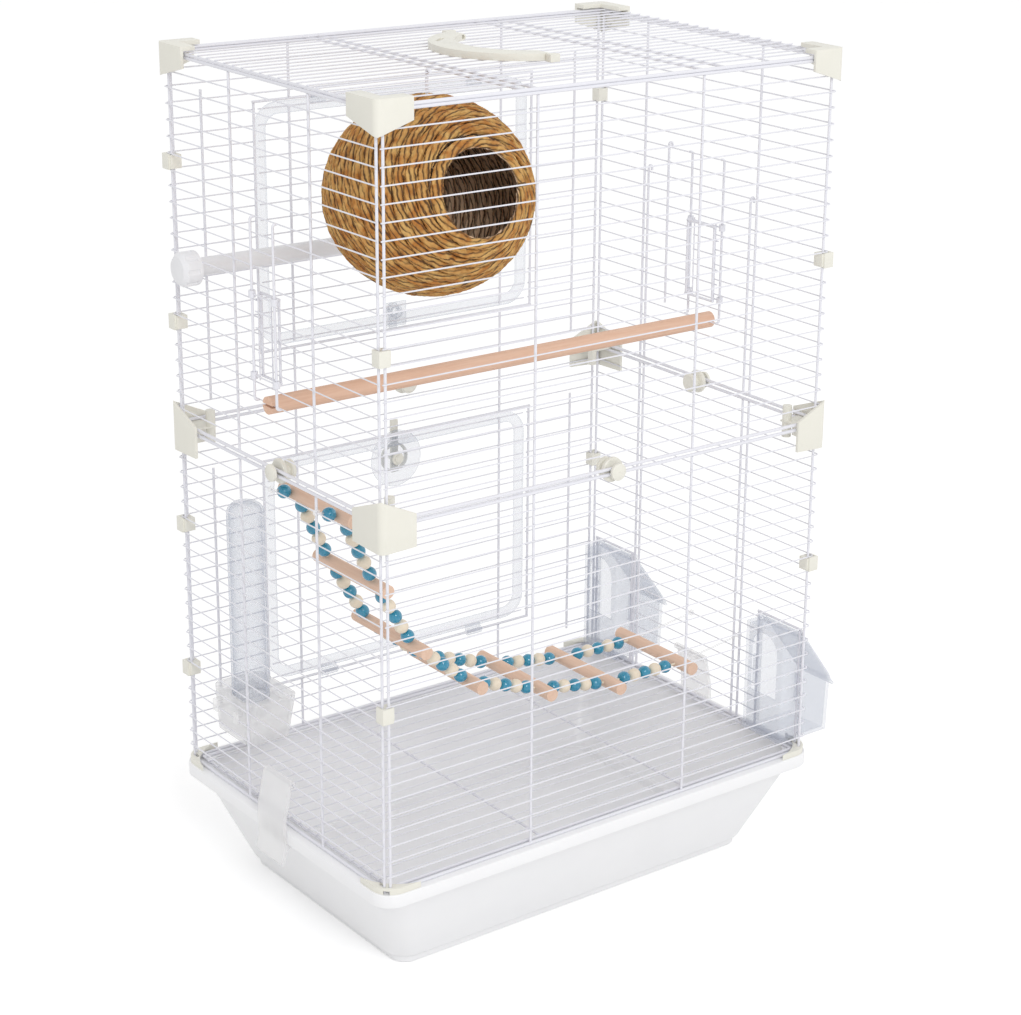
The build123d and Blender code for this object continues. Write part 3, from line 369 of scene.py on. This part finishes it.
def make_seagrass():
    """Golden brown fibres along each strand, with darker patches about a centimetre across."""
    material = bpy.data.materials.new("dried_seagrass_rope")
    material.use_nodes = True
    tree = material.node_tree
    shader = tree.nodes["Principled BSDF"]
    shader.inputs["Roughness"].default_value = 0.72
    fibre = add_node(tree, "ShaderNodeAttribute", attribute_name="fibre")
    split = add_node(tree, "ShaderNodeSeparateXYZ", None, {0: fibre.outputs["Vector"]})
    spread = add_node(tree, "ShaderNodeVectorMath", {1: (1 / blade_length, blades_per_ply / (2 * pi), 0.0)},
                      {0: fibre.outputs["Vector"]}, operation="MULTIPLY")
    blades = add_node(tree, "ShaderNodeTexNoise", {"Scale": 1.0, "Detail": 4.0, "Roughness": 0.62},
                      {"Vector": spread.outputs["Vector"]})
    place = add_node(tree, "ShaderNodeTexCoord")
    patches = add_node(tree, "ShaderNodeTexNoise", {"Scale": 1 / patch_size, "Detail": 2.0},
                       {"Vector": place.outputs["Object"]})
    patchy = add_node(tree, "ShaderNodeMapRange", {"From Min": 0.36, "From Max": 0.64},
                      {"Value": patches.outputs["Fac"]})
    straw = add_node(tree, "ShaderNodeMix", {6: linear("#E0B26A"), 7: linear("#BC7A34")},
                     {0: patchy.outputs["Result"]}, data_type="RGBA")
    # Painted light: the rope's side that looks into the nest is mixed toward a pale straw colour, standing in
    # for the light bounced about inside it.
    inward_painted_light_mask = add_node(tree, "ShaderNodeMapRange", {"From Min": 0.1, "From Max": -0.3},
                      {"Value": split.outputs["Z"]})
    painted_inner_light = add_node(tree, "ShaderNodeMix", {7: linear("#F2CFAC")},
                     {0: inward_painted_light_mask.outputs["Result"], 6: straw.outputs[2]}, data_type="RGBA")
    bends = add_node(tree, "ShaderNodeTexNoise", {"Scale": 1 / bend_size, "Detail": 2.0},
                     {"Vector": place.outputs["Object"]})
    swerve = add_node(tree, "ShaderNodeMath", {1: bend_radians},
                      {0: bends.outputs["Fac"], 2: split.outputs["Y"]}, operation="MULTIPLY_ADD")
    wave = add_node(tree, "ShaderNodeMath", None, {0: swerve.outputs[0]}, operation="COSINE")
    groove = add_node(tree, "ShaderNodeMath", {1: -0.5, 2: 0.5}, {0: wave.outputs[0]},
                      operation="MULTIPLY_ADD")
    uneven = add_node(tree, "ShaderNodeMath", {1: blade_share},
                      {0: blades.outputs["Fac"], 2: groove.outputs[0]}, operation="MULTIPLY_ADD")
    # Painted shade: where the grooves between the plies and the blades' darker tone add up, the colour is
    # mixed toward dark brown.
    shade = add_node(tree, "ShaderNodeMapRange", {"From Min": 1.38, "From Max": 1.72, "To Max": 0.92},
                     {"Value": uneven.outputs[0]})
    mix = add_node(tree, "ShaderNodeMix", {7: linear("#4B2E12")},
                   {0: shade.outputs["Result"], 6: painted_inner_light.outputs[2]}, data_type="RGBA")
    bump = add_node(tree, "ShaderNodeBump", {"Strength": 1.0, "Distance": -blade_relief},
                    {"Height": uneven.outputs[0]})
    tree.links.new(mix.outputs[2], shader.inputs["Base Color"])
    tree.links.new(bump.outputs["Normal"], shader.inputs["Normal"])
    return material


seagrass = make_seagrass()

# %% [markdown]
# ## The nest
# The rope starts at the round mouth and is wound about the mouth's own axis, row beside row,
# until it closes at the back of the ball. That is why the rows run parallel to the mouth's rim.
# A separate ring binds the rim. The rope lies against the inside of the CAD ball's outer skin.

# %% Wind the nest
low, high = (Vector(corner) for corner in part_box("nest_ball"))
ball_half = (high.x - low.x) / 2
ball_half_height = (high.z - low.z) / 2
ball_centre = Vector(((low.x + high.x) / 2, high.y - ball_half, (low.z + high.z) / 2))
rope_out = 3.7 * MM
rope_side = 4.6 * MM
row_pitch = 8.0 * MM
plies = 6
ply_lay = 13 * MM
groove_depth = 0.12
mouth_radius = 30 * MM
mouth_lift = radians(12)
mouth_axis = Vector((0, -cos(mouth_lift), sin(mouth_lift)))
mouth_side = Vector((1, 0, 0))
mouth_up = mouth_side.cross(mouth_axis)
wind_r = ball_half - rope_out
wind_h = ball_half_height - rope_out
ring_step = 2.8 * MM
pole_gap = 0.03  # radians short of the back pole, where the rope ends
pole_ease = 1.5 * MM  # keeps the steps from growing too wide near the pole
rim_rings = 80
rope_sides = 28


def from_ball_centre(point):
    """The outward direction on the ball."""
    return point - ball_centre


def on_ball(tilt, turn):
    """A point of the rope's middle skin, by its angle off the mouth's axis and its turn about it."""
    way = mouth_axis * cos(tilt) + (mouth_side * cos(turn) + mouth_up * sin(turn)) * sin(tilt)
    return ball_centre + way / sqrt((way.x ** 2 + way.y ** 2) / wind_r ** 2 + way.z ** 2 / wind_h ** 2)


def wind_rope(first_tilt):
    """The spiral from the mouth to the back of the ball."""
    tilt = first_tilt
    turn = 0.0
    path = []
    while tilt < pi - pole_gap:
        path.append(on_ball(tilt, turn))
        move = ring_step / (wind_r * sin(tilt) + pole_ease)
        turn += move
        tilt += move / (2 * pi) * row_pitch / wind_r
    return path


rim_tilt = asin((mouth_radius + rope_out) / wind_r)
rim = [on_ball(rim_tilt, 2 * pi * k / rim_rings) for k in range(rim_rings)]
nest = empty_skin()
for path, closed in ((rim, True), (wind_rope(rim_tilt + 0.6 * row_pitch / wind_r), False)):
    add_tube(nest, path, from_ball_centre, rope_out, rope_side, rope_sides, closed, plies, groove_depth,
             ply_lay)
nest_piece = make_piece("coiled_grass_nest", nest["corners"], nest["faces"], "nest_ball", seagrass,
                        nest["fibre"])
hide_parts("nest_ball")
print("nest:", len(nest["corners"]), "corners")

# %% [markdown]
# ## The beads
# Turned beads are balls with a hole. The CAD has them with eight flat sides to stay light.
# Here each is a smooth turning, at the centre of its CAD bead, and it points along the wire
# from one rung to the next.


# %% Turn the beads
def lumps(node):
    """The centres of a CAD node's separate solids."""
    work = bmesh.new()
    work.from_mesh(nodes[node].data)
    bmesh.ops.remove_doubles(work, verts=work.verts, dist=weld_distance)
    unseen = set(work.verts)
    centres = []
    while unseen:
        group = [unseen.pop()]
        for vert in group:
            for edge in vert.link_edges:
                other = edge.other_vert(vert)
                if other in unseen:
                    unseen.discard(other)
                    group.append(other)
        xs, ys, zs = zip(*[tuple(v.co) for v in group])
        centres.append(Vector(((min(xs) + max(xs)) / 2, (min(ys) + max(ys)) / 2, (min(zs) + max(zs)) / 2)))
    work.free()
    return sorted(centres, key=lambda c: (c.x, c.y))


rung_centres = lumps("ladder_rungs")
bead_half = 4.9 * MM
bead_radius = 5.1 * MM
bead_bore = 0.95 * MM
bead_fullness = 0.94  # how far round its circle the bead's outline runs before the flat end


def wire_direction(spot):
    """The direction of the ladder's wire at a bead."""
    before = [r for r in rung_centres if r.x < spot.x]
    after = [r for r in rung_centres if r.x >= spot.x]
    if not before:
        way = after[0] - spot
    else:
        way = after[0] - before[-1]
    return Vector((way.x, 0, way.z)).normalized()


def add_turning(corners, faces, centre, axis, profile, sides=20):
    """A ring-shaped turning about an axis, from a closed profile of (along, radius) pairs."""
    across = axis.orthogonal().normalized()
    up = axis.cross(across)
    first = len(corners)
    for along, radius in profile:
        for j in range(sides):
            angle = 2 * pi * j / sides
            corners.append(centre + axis * along + (across * cos(angle) + up * sin(angle)) * radius)
    for k in range(len(profile)):
        here = first + k * sides
        following = first + (k + 1) % len(profile) * sides
        for j in range(sides):
            turn = (j + 1) % sides
            faces.append((here + j, here + turn, following + turn, following + j))


stations = [k / 6 for k in range(-6, 7)]
bead_profile = [(-bead_half, bead_bore)]
bead_profile += [(t * bead_half, bead_radius * sqrt(1 - (bead_fullness * t) ** 2)) for t in stations]
bead_profile.append((bead_half, bead_bore))


def outward(piece):
    """Makes all faces of a closed piece look outward."""
    work = bmesh.new()
    work.from_mesh(piece.data)
    bmesh.ops.recalc_face_normals(work, faces=work.faces)
    work.to_mesh(piece.data)
    work.free()


for node, title in (("ladder_beads_blue", "turned_beads_blue"), ("ladder_beads_plain", "turned_beads_plain")):
    corners, faces = [], []
    for centre in lumps(node):
        add_turning(corners, faces, centre, wire_direction(centre), bead_profile)
    piece = make_piece(title, corners, faces, node, finish_of(node))
    outward(piece)
    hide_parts(node)
    print(title, len(corners), "corners")

# %% [markdown]
# ## Snap buttons
# A button in the middle of each wall holds the two storeys together. It is a turned shape: a
# small head outside the wires, a thin neck between the two rims, and a spool inside to grip.

# %% Turn the snap buttons
button_level = 350 * MM
wall_plane_x = 193 * MM
wall_plane_y = 133 * MM
hollow = 0.3
outer_head = [(5.4, hollow), (5.4, 5.2), (4.6, 6.2), (2.6, 6.2), (2.6, hollow)]
inner_spool = [(-1.8, hollow), (-1.8, 8.2), (-2.6, 9.0), (-4.4, 9.0), (-5.2, 8.2), (-5.6, 4.6), (-9.4, 4.6),
               (-9.8, 6.6), (-10.4, 7.2), (-12.2, 7.2), (-13.0, 6.4), (-13.0, hollow)]
neck = [(2.8, hollow), (2.8, 0.7), (-2.0, 0.7), (-2.0, hollow)]
button_sides = 32
outward_of_wall = ((0, -1, 0), (0, 1, 0), (-1, 0, 0), (1, 0, 0))
corners, faces = [], []
for axis in outward_of_wall:
    place = Vector((axis[0] * wall_plane_x, axis[1] * wall_plane_y, button_level))
    for outline in (outer_head, neck, inner_spool):
        profile = [(a * MM, r * MM) for a, r in outline]
        add_turning(corners, faces, place, Vector(axis), profile, button_sides)
buttons = make_piece("snap_buttons", corners, faces, "wall_buttons", ivory_polypropylene)
outward(buttons)
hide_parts("wall_buttons")
print("snap buttons:", len(corners), "corners")

# %% [markdown]
# ## Curled wire ends
# Where a short upright stops in the middle of a wall, its end is curled over the wire there, so
# that no cut end can scratch the bird. Each curl is a half circle of the same wire.

# %% Curl the ends
curls = empty_skin()
post_plane = 193.0 * MM
curl_radius = 1.65 * MM
curl_steps = 8
wire_radius = 0.98 * MM
short_posts_mm = ((70.0, 507.0), (-50.0, 503.0), (46.0, 529.0))  # each post's Y and its top
for y_mm, top_mm in short_posts_mm:
    path = []
    for k in range(curl_steps + 1):
        angle = pi * k / curl_steps
        path.append(Vector((post_plane + curl_radius * (1 - cos(angle)), y_mm * MM,
                            top_mm * MM + curl_radius * sin(angle))))
    path.append(path[-1] - Vector((0, 0, 2.5 * MM)))
    add_tube(curls, path, lambda point: Vector((0, 1, 0)), wire_radius, wire_radius, sides=10)
make_piece("curled_wire_ends", curls["corners"], curls["faces"], "right_upper_panel", powder_coat)
print("curls:", len(curls["corners"]), "corners")

# %% [markdown]
# ## The stage
# The cage stands on a pale floor under a pale sky. A product photograph shows white all round,
# so rays from the camera, and rays through glass or off gloss, see a brighter floor and sky
# than the object is lit by. The floor still takes the object's shadow, because the extra
# brightness is added to its own light and doesn't replace it.


# %% Floor and sky
floor_reach = 14.0
floor_level = -0.2 * MM
floor_glow = 0.3
sky_level = 0.8


def seen_ray(tree):
    """1 for camera, gloss and transmission rays, 0 for the rays that carry light."""
    rays = add_node(tree, "ShaderNodeLightPath")
    two = add_node(tree, "ShaderNodeMath", None,
                   {0: rays.outputs["Is Camera Ray"], 1: rays.outputs["Is Glossy Ray"]}, operation="MAXIMUM")
    return add_node(tree, "ShaderNodeMath", None, {0: two.outputs[0], 1: rays.outputs["Is Transmission Ray"]},
                    operation="MAXIMUM").outputs[0]


def make_floor():
    """A wide pale floor just under the tray."""
    mesh = bpy.data.meshes.new("studio_floor")
    mesh.from_pydata([(x * floor_reach, y * floor_reach, floor_level)
                      for x, y in ((-1, -1), (1, -1), (1, 1), (-1, 1))], [], [(0, 1, 2, 3)])
    floor = bpy.data.objects.new("studio_floor", mesh)
    bpy.context.scene.collection.objects.link(floor)
    material = bpy.data.materials.new("white_backdrop_paper")
    material.use_nodes = True
    tree = material.node_tree
    shader = tree.nodes["Principled BSDF"]
    shader.inputs["Base Color"].default_value = linear("#F0F0F0")
    shader.inputs["Roughness"].default_value = 0.9
    shader.inputs["Specular IOR Level"].default_value = 0.1
    shader.inputs["Emission Color"].default_value = (1, 1, 1, 1)
    glow = add_node(tree, "ShaderNodeMath", {1: floor_glow}, {0: seen_ray(tree)}, operation="MULTIPLY")
    tree.links.new(glow.outputs[0], shader.inputs["Emission Strength"])
    mesh.materials.append(material)


def make_sky(level):
    """Even light from all round, seen as white."""
    world = bpy.data.worlds.new("studio_sky")
    bpy.context.scene.world = world
    world.use_nodes = True
    tree = world.node_tree
    lift = add_node(tree, "ShaderNodeMath", {1: 1.0 - level, 2: level}, {0: seen_ray(tree)},
                    operation="MULTIPLY_ADD")
    tree.links.new(lift.outputs[0], tree.nodes["Background"].inputs["Strength"])
    tree.nodes["Background"].inputs["Color"].default_value = (1, 1, 1, 1)


make_floor()
make_sky(sky_level)
print("stage ready")


# %% [markdown]
# ## Soft boxes
# A large soft box in front gives the wires a bright and a dim side and shines into the nest's
# mouth. A weaker one on the right keeps the far wall from going grey. A lamp's power is worked
# out from the brightness that it should add at the object.


# %% Lamps
cage_middle = Vector((0, 0, 0.3))


def soft_box(name, place, size, brightness):
    """A square lamp that adds the given brightness to a white surface at the cage's middle."""
    lamp = bpy.data.lights.new(name, "AREA")
    lamp.size = size
    reach = Vector(place) - cage_middle
    lamp.energy = brightness * pi ** 2 * reach.length_squared
    holder = bpy.data.objects.new(name, lamp)
    holder.location = place
    holder.rotation_euler = reach.to_track_quat("Z", "Y").to_euler()
    bpy.context.scene.collection.objects.link(holder)
    print(name, round(lamp.energy, 1), "W")


soft_box("key_soft_box", (-0.8, -2.2, 1.75), 0.9, 0.26)
soft_box("fill_soft_box", (2.2, -0.9, 1.4), 1.6, 0.05)

# %% [markdown]
# ## The camera
# The photograph was taken from in front of one corner, a little above the roof. Its place was
# found by fitting the cage's known corners to the picture. Azimuth is measured from the front,
# elevation from the floor, and the frame leans by a small roll.

# %% Camera
azimuth = radians(-39.063)
elevation = radians(18.775)
roll = radians(1.217)
distance = 1782.3 * MM
look_at = Vector((62.3, -51.2, 313.6)) * MM
picture_width = 1021
lens_in_pixels = 2405.8
picture_shift = (-0.0979, -0.0343)
back = Vector((sin(azimuth) * cos(elevation), -cos(azimuth) * cos(elevation), sin(elevation)))
level_right = Vector((cos(azimuth), sin(azimuth), 0))
level_up = back.cross(level_right)
right = level_right * cos(roll) + level_up * sin(roll)
up = level_up * cos(roll) - level_right * sin(roll)
turned = Matrix((right, up, back)).transposed().to_4x4()
camera = bpy.data.objects.new("photo_camera", bpy.data.cameras.new("photo_camera"))
camera.data.sensor_width = 36.0
camera.data.lens = lens_in_pixels * camera.data.sensor_width / picture_width
camera.data.shift_x, camera.data.shift_y = picture_shift
camera.data.clip_end = 60.0
camera.matrix_world = Matrix.Translation(look_at + back * distance) @ turned
bpy.context.scene.collection.objects.link(camera)
bpy.context.scene.camera = camera
bpy.context.scene.view_settings.view_transform = "Standard"
print("camera at", [round(v, 3) for v in camera.matrix_world.translation])
